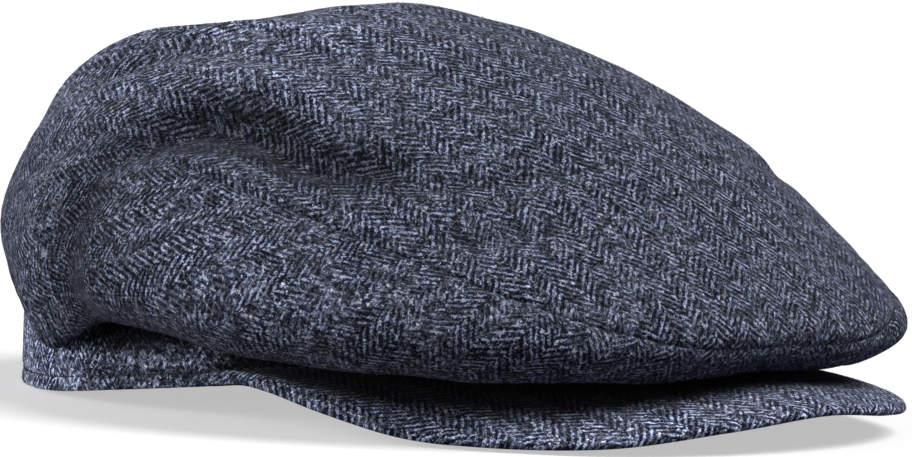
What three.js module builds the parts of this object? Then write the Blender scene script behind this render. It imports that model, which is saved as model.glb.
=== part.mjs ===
// A wool flat cap, lying on its rim as it does by itself on a table.
//
// It is sewn from five pieces: a headband that the head goes into, a stiff
// peak in front, two side panels that bulge out over the band, and one top
// panel that runs from the back over the head to the nose of the cap.
//
// Millimetres, +Z up. The front of the cap points along -Y and the wearer's
// right hand is on the -X side. Angles go round the cap in plan, from 0 at
// the front, over 90 at the wearer's right ear, to 180 at the back. The
// origin is under the middle of the cap, on the table.
import * as THREE from "three";

// Head opening and band
const openingLength = 205;
const openingWidth = 164;
const bandWall = 2.6;
const bandHeight = 22;

// How high the hem stands over the forehead, because the cap leans on its peak
const frontRise = 15;

// Crown
const crownHeight = 108.5;
const crownReach = 48;
const clothThickness = 1.8;
const seamGap = 0.4;

// Peak
const peakReach = 56;
const peakThickness = 4;
const peakCurve = 1.3;

// How far round the head from the front each end of the peak is, in degrees
const peakEndAngle = 75;

// Folds of the crown's cloth
const foldWidth = 12;
const foldDepth = 5;

// How finely the curved cloth is faceted
const facets = { round: 76, under: 2, side: 8, top: 14, band: 3, peakAcross: 44, peakOut: 6 };
const outlineSteps = 12;
const foldSteps = 20;

// How far to either side of a point the cloth's slope is read, in degrees round
// the cap and as a share of the way up the crown
const slopeStep = { angle: 0.5, share: 0.004 };

// Colour and roughness of the tweed
const tweed = 0x3d4150;
const tweedRoughness = 0.95;

// The height of the band's hem round the head, as a share of frontRise.
const hemTable = [
  { angle: 0, rise: 1.0 },
  { angle: 30, rise: 0.86 },
  { angle: 60, rise: 0.73 },
  { angle: 80, rise: 0.51 },
  { angle: 100, rise: 0.29 },
  { angle: 120, rise: 0.08 },
  { angle: 140, rise: 0.0 },
  { angle: 180, rise: 0.0 },
];

// The crown's underside, from the band out to its widest line, one row for
// each direction from the middle of the head. lipReach, rimReach: how far the
// lowest fold and the widest line stand out past the band, as shares of
// crownReach. Heights are shares of crownHeight.
const undersideTable = [
  { angle: 0, lipReach: 0.66, lipHeight: 0.165, rimReach: 0.89, rimHeight: 0.225 },
  { angle: 30, lipReach: 0.7, lipHeight: 0.15, rimReach: 1, rimHeight: 0.225 },
  { angle: 60, lipReach: 0.5, lipHeight: 0.172, rimReach: 0.81, rimHeight: 0.255 },
  { angle: 90, lipReach: 0.24, lipHeight: 0.215, rimReach: 0.55, rimHeight: 0.305 },
  { angle: 105, lipReach: 0.1, lipHeight: 0.165, rimReach: 0.39, rimHeight: 0.325 },
  { angle: 116, lipReach: 0.07, lipHeight: 0.13, rimReach: 0.29, rimHeight: 0.345 },
  { angle: 126, lipReach: 0.08, lipHeight: 0.225, rimReach: 0.21, rimHeight: 0.35 },
  { angle: 150, lipReach: 0.06, lipHeight: 0.245, rimReach: 0.11, rimHeight: 0.37 },
  { angle: 180, lipReach: 0.06, lipHeight: 0.245, rimReach: 0.1, rimHeight: 0.38 },
];

// The crown's upper side. shoulder, upper: how far two lines round the crown
// are from its middle, as shares of the widest line's distance. Heights are
// shares of crownHeight.
const uppersideTable = [
  { angle: 0, shoulder: 0.835, shoulderHeight: 0.51, upper: 0.43, upperHeight: 0.865 },
  { angle: 30, shoulder: 0.835, shoulderHeight: 0.51, upper: 0.43, upperHeight: 0.865 },
  { angle: 60, shoulder: 0.855, shoulderHeight: 0.58, upper: 0.48, upperHeight: 0.865 },
  { angle: 90, shoulder: 0.885, shoulderHeight: 0.65, upper: 0.58, upperHeight: 0.865 },
  { angle: 105, shoulder: 0.89, shoulderHeight: 0.675, upper: 0.62, upperHeight: 0.87 },
  { angle: 116, shoulder: 0.89, shoulderHeight: 0.69, upper: 0.65, upperHeight: 0.87 },
  { angle: 126, shoulder: 0.885, shoulderHeight: 0.69, upper: 0.65, upperHeight: 0.865 },
  { angle: 150, shoulder: 0.885, shoulderHeight: 0.69, upper: 0.65, upperHeight: 0.85 },
  { angle: 180, shoulder: 0.9, shoulderHeight: 0.69, upper: 0.65, upperHeight: 0.835 },
];

// The seam between the top panel and the side panels, as a share of the way
// along the cloth from the band to the middle of the crown.
const seamTable = [
  { angle: 0, share: 0.237 },
  { angle: 12, share: 0.245 },
  { angle: 28, share: 0.3 },
  { angle: 42, share: 0.36 },
  { angle: 55, share: 0.395 },
  { angle: 80, share: 0.42 },
  { angle: 100, share: 0.425 },
  { angle: 115, share: 0.385 },
  { angle: 135, share: 0.31 },
  { angle: 180, share: 0.26 },
];

// The peak's outer edge. reach: how far it stands out past the band, as a share
// of peakReach. edge: how high its underside is over the table, as a share of
// frontRise.
const peakTable = [
  { angle: 0, reach: 1, edge: 0.57 },
  { angle: 12, reach: 0.985, edge: 0.36 },
  { angle: 24, reach: 0.925, edge: 0.07 },
  { angle: 33, reach: 0.8, edge: 0 },
  { angle: 42, reach: 0.65, edge: 0.03 },
  { angle: 52, reach: 0.46, edge: 0.32 },
  { angle: 62, reach: 0.22, edge: 0.58 },
  { angle: 70, reach: 0.05, edge: 0.64 },
  { angle: 76, reach: 0, edge: 0.57 },
];

// Folds and dents of the crown. Each follows a bent line from one place over
// the next to a third. Places are an angle and a share of the way from the
// band to the middle of the crown. width: a share of foldWidth. depth: a share
// of foldDepth, below 0 where the cloth sinks in.
const foldTable = [
  { from: [128, 0.395], over: [102, 0.86], to: [27, 0.76], width: 0.8, depth: 0.55 },
  { from: [137, 0.4], over: [122, 0.7], to: [98, 0.8], width: 0.7, depth: -0.8 },
  { from: [165, 0.36], over: [146, 0.5], to: [134, 0.72], width: 1.1, depth: 0.8 },
  { from: [178, 0.74], over: [156, 0.84], to: [118, 0.86], width: 1.8, depth: -0.9 },
  { from: [122, 0.83], over: [86, 0.88], to: [14, 0.93], width: 0.9, depth: 0.35 },
  { from: [121, 0.35], over: [114, 0.4], to: [107, 0.44], width: 0.6, depth: -0.25 },
  { from: [92, 0.4], over: [72, 0.57], to: [57, 0.49], width: 0.85, depth: -1.1 },
  { from: [64, 0.5], over: [52, 0.465], to: [41, 0.53], width: 0.7, depth: -0.8 },
  { from: [98, 0.34], over: [91, 0.24], to: [102, 0.1], width: 1.1, depth: -0.7 },
  { from: [80, 0.3], over: [66, 0.26], to: [48, 0.27], width: 1.3, depth: 0.35 },
  { from: [232, 0.42], over: [262, 0.7], to: [320, 0.75], width: 1.1, depth: 0.35 },
  { from: [275, 0.42], over: [291, 0.52], to: [314, 0.48], width: 0.9, depth: -0.45 },
  { from: [262, 0.34], over: [269, 0.24], to: [258, 0.1], width: 1.1, depth: -0.5 },
];

const radians = THREE.MathUtils.degToRad;

const spread = (from, to, steps) =>
  Array.from({ length: steps + 1 }, (_, i) => from + ((to - from) * i) / steps);

// A smooth curve through values at rising knots.
function smooth(knots, values, at) {
  let i = 0;
  while (i < knots.length - 2 && at > knots[i + 1]) {
    i += 1;
  }
  const slope = (k) => (values[k + 1] - values[k]) / (knots[k + 1] - knots[k]);
  const tangent = (k) => {
    if (k === 0) return slope(0);
    if (k === knots.length - 1) return slope(k - 1);
    const before = knots[k] - knots[k - 1];
    const after = knots[k + 1] - knots[k];
    return (slope(k - 1) * after + slope(k) * before) / (before + after);
  };
  const span = knots[i + 1] - knots[i];
  const t = (at - knots[i]) / span;
  const t2 = t * t;
  const t3 = t2 * t;
  return (
    values[i] * (2 * t3 - 3 * t2 + 1) +
    tangent(i) * span * (t3 - 2 * t2 + t) +
    values[i + 1] * (3 * t2 - 2 * t3) +
    tangent(i + 1) * span * (t3 - t2)
  );
}

// Reads one column of a table at any angle, the same on both sides of the cap.
function column(table, name, angle) {
  const turned = Math.abs(((angle + 540) % 360) - 180);
  const second = table[1];
  const nextToLast = table[table.length - 2];
  const ring = [
    { ...second, angle: -second.angle },
    ...table,
    { ...nextToLast, angle: 360 - nextToLast.angle },
  ];
  return smooth(ring.map((row) => row.angle), ring.map((row) => row[name]), turned);
}

// The distance of an ellipse from its middle, in the direction of angle.
function ellipseRadius(halfLength, halfWidth, angle) {
  const a = radians(angle);
  return (halfLength * halfWidth) / Math.hypot(halfWidth * Math.cos(a), halfLength * Math.sin(a));
}

const bandInner = (angle) => ellipseRadius(openingLength / 2, openingWidth / 2, angle);
const bandOuter = (angle) => bandInner(angle) + bandWall;
const hemHeight = (angle) => frontRise * Math.max(0, column(hemTable, "rise", angle));
const bandTop = (angle) => hemHeight(angle) + bandHeight;

// A point at a distance and height in the direction of angle.
function place(angle, distance, height) {
  const a = radians(angle);
  return new THREE.Vector3(-Math.sin(a) * distance, -Math.cos(a) * distance, height);
}

// The crown's outline from the band up to the middle, as [distance, height].
function crownKnots(angle) {
  const under = (name) => column(undersideTable, name, angle);
  const over = (name) => column(uppersideTable, name, angle);
  const band = bandOuter(angle);
  const rim = band + crownReach * under("rimReach");
  const sewn = bandTop(angle) + seamGap;
  return [
    [band - bandWall, sewn],
    [band + seamGap, sewn],
    [band + crownReach * under("lipReach"), crownHeight * under("lipHeight")],
    [rim, crownHeight * under("rimHeight")],
    [rim * over("shoulder"), crownHeight * over("shoulderHeight")],
    [rim * over("upper"), crownHeight * over("upperHeight")],
  ];
}

const outlines = new Map();

// The crown's outline as a fine line of [distance, height], with its length.
function crownOutline(angle) {
  const key = angle.toFixed(4);
  if (outlines.has(key)) return outlines.get(key);
  const near = crownKnots(angle);
  const far = crownKnots(angle + 180);
  const beyond = far[far.length - 1];
  const points = [...near, [0, crownHeight], [-beyond[0], beyond[1]]];
  const knots = [0];
  for (let i = 1; i < points.length; i += 1) {
    const chord = Math.hypot(points[i][0] - points[i - 1][0], points[i][1] - points[i - 1][1]);
    knots.push(knots[i - 1] + chord);
  }
  const line = [];
  const lengths = [0];
  for (let i = 0; i < near.length; i += 1) {
    for (let k = 0; k < outlineSteps; k += 1) {
      line.push(knots[i] + ((knots[i + 1] - knots[i]) * k) / outlineSteps);
    }
  }
  line.push(knots[near.length]);
  const distances = points.map((p) => p[0]);
  const heights = points.map((p) => p[1]);
  const path = line.map((u) => [smooth(knots, distances, u), smooth(knots, heights, u)]);
  for (let i = 1; i < path.length; i += 1) {
    lengths.push(lengths[i - 1] + Math.hypot(path[i][0] - path[i - 1][0], path[i][1] - path[i - 1][1]));
  }
  const knotShare = (knot) => lengths[knot * outlineSteps] / lengths[lengths.length - 1];
  const made = { path, lengths, clear: knotShare(1), lip: knotShare(2) };
  outlines.set(key, made);
  return made;
}

// Where the cloth comes clear of the band, and where its lowest fold is.
const clearShare = (angle) => crownOutline(angle).clear;
const lipShare = (angle) => crownOutline(angle).lip;

// The crown's outer face: share 0 is at the band and 1 in the middle of the top.
function crownBase(angle, share) {
  const { path, lengths } = crownOutline(angle);
  const wanted = share * lengths[lengths.length - 1];
  let i = 0;
  while (i < lengths.length - 2 && lengths[i + 1] < wanted) {
    i += 1;
  }
  const t = (wanted - lengths[i]) / (lengths[i + 1] - lengths[i]);
  return place(
    angle,
    path[i][0] + (path[i + 1][0] - path[i][0]) * t,
    path[i][1] + (path[i + 1][1] - path[i][1]) * t,
  );
}

// The direction that the crown's outer face looks in.
function crownNormal(angle, share) {
  if (share === 1) return new THREE.Vector3(0, 0, 1);
  const low = Math.max(0, share - slopeStep.share);
  const high = Math.min(1, share + slopeStep.share);
  const along = crownBase(angle, high).sub(crownBase(angle, low));
  const before = crownBase(angle - slopeStep.angle, share);
  const round = crownBase(angle + slopeStep.angle, share).sub(before);
  return along.cross(round).normalize();
}

// The points along the middle of each fold.
const folds = foldTable.map((row) => {
  const spine = [];
  for (let i = 0; i <= foldSteps; i += 1) {
    const t = i / foldSteps;
    const [a, b, c] = [(1 - t) ** 2, 2 * t * (1 - t), t ** 2];
    const angle = a * row.from[0] + b * row.over[0] + c * row.to[0];
    const share = a * row.from[1] + b * row.over[1] + c * row.to[1];
    spine.push(crownBase(angle, share));
  }
  return { spine, width: row.width * foldWidth, depth: row.depth * foldDepth };
});

// How far the folds lift the cloth at a point of the smooth crown. A fold is
// highest along the middle of its line and fades out towards its ends.
function foldLift(point) {
  let lift = 0;
  for (const { spine, width, depth } of folds) {
    let strength = 0;
    for (let i = 0; i < foldSteps; i += 1) {
      const step = spine[i + 1].clone().sub(spine[i]);
      const along = point.clone().sub(spine[i]).dot(step) / step.lengthSq();
      const part = Math.min(1, Math.max(0, along));
      const away = point.distanceTo(spine[i].clone().addScaledVector(step, part));
      const fade = Math.sin((Math.PI * (i + part)) / foldSteps);
      strength = Math.max(strength, fade * Math.exp(-((away / width) ** 2)));
    }
    lift += depth * strength;
  }
  return lift;
}

// A point of the crown's cloth, below its outer face by a depth.
function crownPoint(angle, share, below) {
  const base = crownBase(angle, share);
  return base.clone().addScaledVector(crownNormal(angle, share), foldLift(base) - below);
}

// Joins two grids of points, [row][column], the outer and the inner face of a
// piece of cloth, into one closed shell. A round grid closes on itself, and
// a grid with tips closes over its last row, onto one point for each face.
function shell(outer, inner, round, tips) {
  const rows = outer.length;
  const columns = outer[0].length;
  const positions = [];
  for (const grid of [outer, inner, tips ? [tips] : []]) {
    for (const row of grid) {
      for (const p of row) positions.push(p.x, p.y, p.z);
    }
  }
  const index = [];
  const at = (side, r, c) => side * rows * columns + r * columns + (c % columns);
  const quad = (a, b, c, d) => index.push(a, c, b, a, d, c);
  const spans = round ? columns : columns - 1;
  for (let r = 0; r < rows - 1; r += 1) {
    for (let c = 0; c < spans; c += 1) {
      quad(at(0, r, c), at(0, r, c + 1), at(0, r + 1, c + 1), at(0, r + 1, c));
      quad(at(1, r, c), at(1, r + 1, c), at(1, r + 1, c + 1), at(1, r, c + 1));
    }
  }
  for (let c = 0; c < spans; c += 1) {
    quad(at(0, 0, c + 1), at(0, 0, c), at(1, 0, c), at(1, 0, c + 1));
    if (tips) {
      index.push(at(0, rows - 1, c + 1), at(0, rows - 1, c), 2 * rows * columns);
      index.push(at(1, rows - 1, c), at(1, rows - 1, c + 1), 2 * rows * columns + 1);
    } else {
      const top = rows - 1;
      quad(at(0, top, c + 1), at(1, top, c + 1), at(1, top, c), at(0, top, c));
    }
  }
  if (!round) {
    for (let r = 0; r < rows - 1; r += 1) {
      quad(at(0, r, 0), at(0, r + 1, 0), at(1, r + 1, 0), at(1, r, 0));
      const last = columns - 1;
      quad(at(0, r, last), at(1, r, last), at(1, r + 1, last), at(0, r + 1, last));
    }
  }
  const geometry = new THREE.BufferGeometry();
  geometry.setAttribute("position", new THREE.Float32BufferAttribute(positions, 3));
  geometry.setIndex(index);
  return geometry;
}

// A stretch of the crown's cloth. Each row is a function that gives the row's
// share at an angle.
function crownCloth(angles, rows, round, tips) {
  const grid = (below) => rows.map((row) => angles.map((angle) => crownPoint(angle, row(angle), below)));
  return shell(grid(0), grid(clothThickness), round, tips);
}

// Rows spread evenly between two rows, the first of them left out.
const rowsBetween = (from, to, steps) =>
  spread(0, 1, steps)
    .slice(1)
    .map((t) => (angle) => from(angle) + (to(angle) - from(angle)) * t);

const cap = new THREE.Group();

function add(name, geometry) {
  geometry.computeVertexNormals();
  const material = new THREE.MeshStandardMaterial({
    color: tweed,
    roughness: tweedRoughness,
    metalness: 0,
  });
  const mesh = new THREE.Mesh(geometry, material);
  mesh.name = name;
  cap.add(mesh);
}

// Half the width of a seam's gap, as a share of the outline's length.
function gapShare(angle) {
  const { lengths } = crownOutline(angle);
  return seamGap / 2 / lengths[lengths.length - 1];
}
const seamShare = (angle) => column(seamTable, "share", angle);

// A side panel, between the middle of the front and the middle of the back.
function sidePanel(from, to) {
  const inset = THREE.MathUtils.radToDeg(seamGap / openingWidth);
  const sewn = () => 0;
  const upper = (angle) => seamShare(angle) - gapShare(angle);
  const rows = [
    sewn,
    clearShare,
    ...rowsBetween(clearShare, lipShare, facets.under),
    ...rowsBetween(lipShare, upper, facets.side),
  ];
  const angles = spread(from, to, facets.round / 2);
  angles[0] += inset;
  angles[angles.length - 1] -= inset;
  return crownCloth(angles, rows, false);
}
add("side_panel_right", sidePanel(0, 180));
add("side_panel_left", sidePanel(180, 360));

// The top panel, which closes over the middle of the crown.
const around = spread(0, 360, facets.round).slice(0, -1);
function topPanel() {
  const lower = (angle) => seamShare(angle) + gapShare(angle);
  const rows = [lower, ...rowsBetween(lower, () => 1, facets.top).slice(0, -1)];
  const tips = [crownPoint(0, 1, 0), crownPoint(0, 1, clothThickness)];
  return crownCloth(around, rows, true, tips);
}
add("top_panel", topPanel());

// The headband, a ring of double cloth whose lower edge is the cap's hem.
function band() {
  const grid = (radius) =>
    Array.from({ length: facets.band + 1 }, (_, r) =>
      around.map((angle) => {
        const height = hemHeight(angle) + (bandHeight * r) / facets.band;
        return place(angle, radius(angle), height);
      }),
    );
  return shell(grid(bandOuter), grid(bandInner), true);
}
add("headband", band());

// The peak's upper face, from the band (out = 0) to its edge (out = 1).
function peakPoint(angle, out, below) {
  const inner = bandOuter(angle) + seamGap;
  const reach = peakReach * Math.max(0, column(peakTable, "reach", angle));
  const edge = frontRise * Math.max(0, column(peakTable, "edge", angle));
  const hem = hemHeight(angle);
  const height = hem + (edge - hem) * out ** peakCurve + peakThickness - below;
  return place(angle, inner + reach * out, height);
}

function peak() {
  const angles = spread(peakEndAngle, -peakEndAngle, facets.peakAcross);
  const grid = (below) =>
    Array.from({ length: facets.peakOut + 1 }, (_, r) =>
      angles.map((angle) => peakPoint(angle, r / facets.peakOut, below)),
    );
  return shell(grid(0), grid(peakThickness), false);
}
add("peak", peak());

// The origin goes under the middle of the cap, at the height of the table.
const extent = new THREE.Box3().setFromObject(cap);
const middle = extent.getCenter(new THREE.Vector3());
cap.position.set(-middle.x, -middle.y, -extent.min.z);

export default cap;
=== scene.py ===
# %% [markdown]
# # A flat cap in herringbone tweed
#
# This lesson dresses a plain model of a flat cap in real looking cloth. The
# plain model is loaded first, as a fixed frame: it has five pieces, each in
# its right place. Every piece made below takes the place of one of them.

import math

import bpy
import numpy as np
from mathutils import Matrix, Vector


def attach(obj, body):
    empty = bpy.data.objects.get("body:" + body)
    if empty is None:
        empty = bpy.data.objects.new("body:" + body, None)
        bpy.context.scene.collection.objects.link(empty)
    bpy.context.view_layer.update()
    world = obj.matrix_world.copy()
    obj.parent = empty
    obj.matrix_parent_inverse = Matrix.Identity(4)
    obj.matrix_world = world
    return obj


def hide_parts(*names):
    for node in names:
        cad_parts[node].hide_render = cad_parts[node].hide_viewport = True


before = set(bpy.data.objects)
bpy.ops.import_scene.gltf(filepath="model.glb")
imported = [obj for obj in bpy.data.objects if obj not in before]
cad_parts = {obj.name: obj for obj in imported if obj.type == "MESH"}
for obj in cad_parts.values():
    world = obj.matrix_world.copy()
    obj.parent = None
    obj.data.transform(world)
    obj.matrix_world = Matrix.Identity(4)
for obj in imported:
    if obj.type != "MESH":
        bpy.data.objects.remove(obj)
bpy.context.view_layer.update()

# %% [markdown]
# ## Sizes
#
# The cap is drawn in metres. The front points along -Y, and the wearer's
# right hand is on the -X side. Everything on a cap goes round the head, so a
# place is given by an angle: 0 at the front, 90 at the right ear, 180 at the
# back. These are the sizes of the pattern that the cap is cut from, the same
# that the plain model has.

# %% Sizes of the cap
MM = 0.001
opening_length, opening_width = 205 * MM, 164 * MM
band_wall, band_height, front_rise = 2.6 * MM, 22 * MM, 15 * MM
crown_height, crown_reach = 108.5 * MM, 48 * MM
cloth_thickness, seam_gap, seam_line = 1.8 * MM, 0.4 * MM, 0.12 * MM
peak_reach, peak_thickness, peak_curve, peak_end = 56 * MM, 4 * MM, 1.3, 75
fold_width, fold_depth, fold_more = 12 * MM, 5 * MM, 1.3
middle = np.array([0.38, 25.8, 0.0]) * MM

# %% [markdown]
# ## Tables of the form
#
# The crown is soft and has no simple shape, so it can't be turned or extruded
# as a cup or a box can. A tailor describes such a form by a few outlines
# measured in several directions. The tables do the same: each column of
# numbers belongs to one angle, and a smooth curve fills in between.

# %% Tables of the form
hem = {
    "angle": [0, 30, 60, 80, 100, 120, 140, 180],
    "rise": [1.0, 0.86, 0.73, 0.51, 0.29, 0.08, 0, 0],
}
crown = {
    "angle": [0, 30, 60, 90, 105, 116, 126, 150, 180],
    "lip_reach": [0.66, 0.7, 0.5, 0.24, 0.1, 0.07, 0.08, 0.06, 0.06],
    "lip_height": [0.165, 0.15, 0.172, 0.215, 0.165, 0.13, 0.225, 0.245, 0.245],
    "rim_reach": [0.89, 1.0, 0.81, 0.55, 0.39, 0.29, 0.21, 0.11, 0.1],
    "rim_height": [0.225, 0.225, 0.255, 0.305, 0.325, 0.345, 0.35, 0.37, 0.38],
    "shoulder": [0.835, 0.835, 0.855, 0.885, 0.89, 0.89, 0.885, 0.885, 0.9],
    "shoulder_height": [0.51, 0.51, 0.58, 0.65, 0.675, 0.69, 0.69, 0.69, 0.69],
    "upper": [0.43, 0.43, 0.48, 0.58, 0.62, 0.65, 0.65, 0.65, 0.65],
    "upper_height": [0.865, 0.865, 0.865, 0.865, 0.87, 0.87, 0.865, 0.85, 0.835],
}
seam = {
    "angle": [0, 12, 28, 42, 55, 80, 100, 115, 135, 180],
    "share": [0.237, 0.245, 0.3, 0.36, 0.395, 0.42, 0.425, 0.385, 0.31, 0.26],
}
peak = {
    "angle": [0, 12, 24, 33, 42, 52, 62, 70, 76],
    "reach": [1.0, 0.985, 0.925, 0.8, 0.65, 0.46, 0.22, 0.05, 0],
    "edge": [0.57, 0.36, 0.07, 0, 0.03, 0.32, 0.58, 0.64, 0.57],
}
print("crown measured at", crown["angle"], "degrees")

# %% [markdown]
# A few small helpers read the tables. `smooth` draws a soft curve through
# given values, as a bent ruler does: `leans` finds how steep it is at each
# value, and `cubic` fills in between two of them. `column` reads one column
# at any angle, alike on both sides of the cap. `place` turns an angle, a
# distance from the middle of the head and a height into a point. `from_front`
# tells how far an angle is from the front on either side, and `ramped` grows
# from 0 at its start to 1 at its end.

# %% Read the tables
def leans(slope, gap):
    between = (slope[:-1] * gap[1:] + slope[1:] * gap[:-1]) / (gap[:-1] + gap[1:])
    return np.concatenate([slope[:1], between, slope[-1:]])


def cubic(start, end, lean_start, lean_end, gap, t):
    return (start * (2 * t**3 - 3 * t**2 + 1) + end * (3 * t**2 - 2 * t**3)
            + gap * (lean_start * (t**3 - 2 * t**2 + t) + lean_end * (t**3 - t**2)))


def smooth(knots, values, at):
    knots, values, at = (np.asarray(a, float) for a in (knots, values, at))
    gap = np.diff(knots)
    lean = leans(np.diff(values) / gap, gap)
    i = np.clip(np.searchsorted(knots, at, side="left") - 1, 0, len(gap) - 1)
    return cubic(values[i], values[i + 1], lean[i], lean[i + 1], gap[i], (at - knots[i]) / gap[i])


def ramped(value, start, end):
    return np.clip((value - start) / (end - start), 0, 1)


def from_front(angle):
    return np.abs((angle + 180) % 360 - 180)


def column(table, name, angle):
    turned = np.abs((np.asarray(angle, float) + 540) % 360 - 180)
    knots, values = table["angle"], table[name]
    knots = [-knots[1], *knots, 360 - knots[-2]]
    return smooth(knots, [values[1], *values, values[-2]], turned)


def place(angle, distance, height):
    a = np.radians(angle)
    return np.stack(np.broadcast_arrays(-np.sin(a) * distance, -np.cos(a) * distance, height), -1) + middle


def band_inner(angle):
    a = np.radians(angle)
    long, wide = opening_length / 2, opening_width / 2
    return long * wide / np.hypot(wide * np.cos(a), long * np.sin(a))


def band_outer(angle):
    return band_inner(angle) + band_wall


def hem_height(angle):
    return front_rise * np.maximum(0, column(hem, "rise", angle))


def on_hem(angle):
    return place(angle, band_outer(angle), hem_height(angle))


def band_length(turns):
    rim = place(turns, band_outer(turns), 0)
    return np.concatenate([[0], np.cumsum(np.linalg.norm(np.diff(rim, axis=0), axis=1))])


print("the band is", round(float(2 * band_outer(0)), 4), "m long and",
      round(float(2 * band_outer(90)), 4), "m wide")

# %% [markdown]
# `outline` draws the crown's outline in one direction: out from the band,
# round the lowest fold, up over the rim and the shoulder, and in to the
# middle of the top. `crown_base` walks along it. Its second number, the
# share, is 0 where the cloth is sewn to the band and 1 in the middle.

# %% The crown's smooth form
outline_steps = 12


def outline(angle):
    def knots(at):
        band = band_outer(at)
        lip = band + crown_reach * column(crown, "lip_reach", at)
        rim = band + crown_reach * column(crown, "rim_reach", at)
        sewn = hem_height(at) + band_height + seam_gap
        distances = [band - band_wall, band + seam_gap, lip, rim,
                     rim * column(crown, "shoulder", at), rim * column(crown, "upper", at)]
        rows = ("lip_height", "rim_height", "shoulder_height", "upper_height")
        heights = [sewn, sewn, *(crown_height * column(crown, row, at) for row in rows)]
        return np.stack(distances), np.stack(heights)

    near, beyond = knots(angle), knots(angle + 180)
    zero = np.zeros((1, len(angle)))
    line = [np.concatenate([near[0], zero, -beyond[0][-1:]]),
            np.concatenate([near[1], zero + crown_height, beyond[1][-1:]])]
    gap = np.hypot(np.diff(line[0], axis=0), np.diff(line[1], axis=0))
    t = (np.arange(outline_steps) / outline_steps)[:, None]
    count = len(near[0])
    path = []
    for values in line:
        lean = leans(np.diff(values, axis=0) / gap, gap)
        spans = [cubic(values[i], values[i + 1], lean[i], lean[i + 1], gap[i], t) for i in range(count)]
        path.append(np.concatenate([*spans, values[count][None]]))
    steps = np.hypot(np.diff(path[0], axis=0), np.diff(path[1], axis=0))
    return path[0], path[1], np.concatenate([zero, np.cumsum(steps, axis=0)])


def crown_base(angle, share):
    angle, share = np.broadcast_arrays(np.asarray(angle, float), np.asarray(share, float))
    directions, which = np.unique(angle.round(5), return_inverse=True)
    which = which.ravel()
    distance, height, length = outline(directions)
    flat = share.ravel()
    found = np.empty((2, flat.size))
    order = np.argsort(which, kind="stable")
    borders = np.searchsorted(which[order], np.arange(1, len(directions)))
    for k, picked in enumerate(np.split(order, borders)):
        along = length[:, k] / length[-1, k]
        found[0, picked] = np.interp(flat[picked], along, distance[:, k])
        found[1, picked] = np.interp(flat[picked], along, height[:, k])
    return place(angle, found[0].reshape(angle.shape), found[1].reshape(angle.shape))


def seam_share(angle):
    return column(seam, "share", angle)


def crown_length(angle):
    return outline(np.atleast_1d(angle).ravel())[2][-1].reshape(np.shape(angle))


print("from band to crown the cloth is", crown_length(np.array([0.0, 90.0, 180.0])).round(4), "m long")

# %% [markdown]
# ## Folds
#
# Soft cloth shows how it has been handled. Each fold runs along a bent line
# over the crown: `start`, `over` and `end` are places, each an angle and a
# share. The cloth rises (or sinks, where the depth is negative) along the
# line and fades out at its ends. The plain model has the first thirteen rows
# as well, and `fold_more` makes most of them deeper here. The others are
# finer creases.

# %% Folds and creases
folds = [
    # start, over, end, width, depth
    ((128, 0.395), (102, 0.86), (27, 0.76), 0.8, 0.55),
    ((137, 0.4), (122, 0.7), (98, 0.8), 0.7, -0.8),
    ((165, 0.36), (146, 0.5), (134, 0.72), 1.1, 0.8),
    ((178, 0.74), (156, 0.84), (118, 0.86), 1.8, -0.9),
    ((122, 0.83), (86, 0.88), (14, 0.93), 0.9, 0.35),
    ((121, 0.35), (114, 0.4), (107, 0.44), 0.6, -0.25),
    ((92, 0.4), (72, 0.57), (57, 0.49), 0.85, -1.1),
    ((64, 0.5), (52, 0.465), (41, 0.53), 0.7, -0.65),
    ((98, 0.34), (91, 0.24), (102, 0.1), 1.1, -0.55),
    ((80, 0.3), (66, 0.26), (48, 0.27), 1.3, 0.35),
    ((232, 0.42), (262, 0.7), (320, 0.75), 1.1, 0.35),
    ((275, 0.42), (291, 0.52), (314, 0.48), 0.9, -0.3),
    ((262, 0.34), (269, 0.24), (258, 0.1), 1.1, -0.5),
    ((60, 0.435), (40, 0.47), (9, 0.55), 0.32, -0.28),
    ((44, 0.385), (34, 0.4), (18, 0.445), 0.3, -0.26),
    ((300, 0.43), (322, 0.47), (348, 0.56), 0.32, -0.15),
    ((88, 0.41), (77, 0.62), (57, 0.5), 0.45, -0.6),
    ((66, 0.5), (54, 0.47), (40, 0.52), 0.4, -0.3),
    ((86, 0.55), (70, 0.67), (52, 0.58), 0.7, 0.4),
    ((90, 0.41), (99, 0.3), (99, 0.12), 0.8, -0.3),
    ((134, 0.38), (117, 0.555), (92, 0.66), 0.42, -0.7),
    ((124, 0.37), (108, 0.51), (84, 0.6), 0.6, 0.35),
    ((122, 0.34), (112, 0.385), (98, 0.42), 0.4, -0.1),
    ((112, 0.3), (103, 0.33), (94, 0.3), 0.8, 0.15),
]
fold_steps = 20


def fold_lines():
    t = np.linspace(0, 1, fold_steps + 1)
    bend = np.stack([(1 - t) ** 2, 2 * t * (1 - t), t**2])
    for start, over, end, width, depth in folds:
        angle, share = np.array([start, over, end]).T @ bend
        yield crown_base(angle, share), width * fold_width, depth * fold_depth * fold_more


spines = list(fold_lines())


def fold_lift(points):
    lift = np.zeros(points.shape[:-1])
    for spine, width, depth in spines:
        strength = np.zeros_like(lift)
        for i in range(fold_steps):
            step = spine[i + 1] - spine[i]
            part = np.clip((points - spine[i]) @ step / (step @ step), 0, 1)
            away = np.linalg.norm(points - spine[i] - part[..., None] * step, axis=-1)
            fade = np.sin(np.pi * (i + part) / fold_steps)
            strength = np.maximum(strength, fade * np.exp(-((away / width) ** 2)))
        lift += depth * strength
    return lift


longest = max(np.linalg.norm(np.diff(spine, axis=0), axis=1).sum() for spine, _, _ in spines)
print(len(spines), "folds, the longest", round(float(longest), 3), "m")

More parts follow.
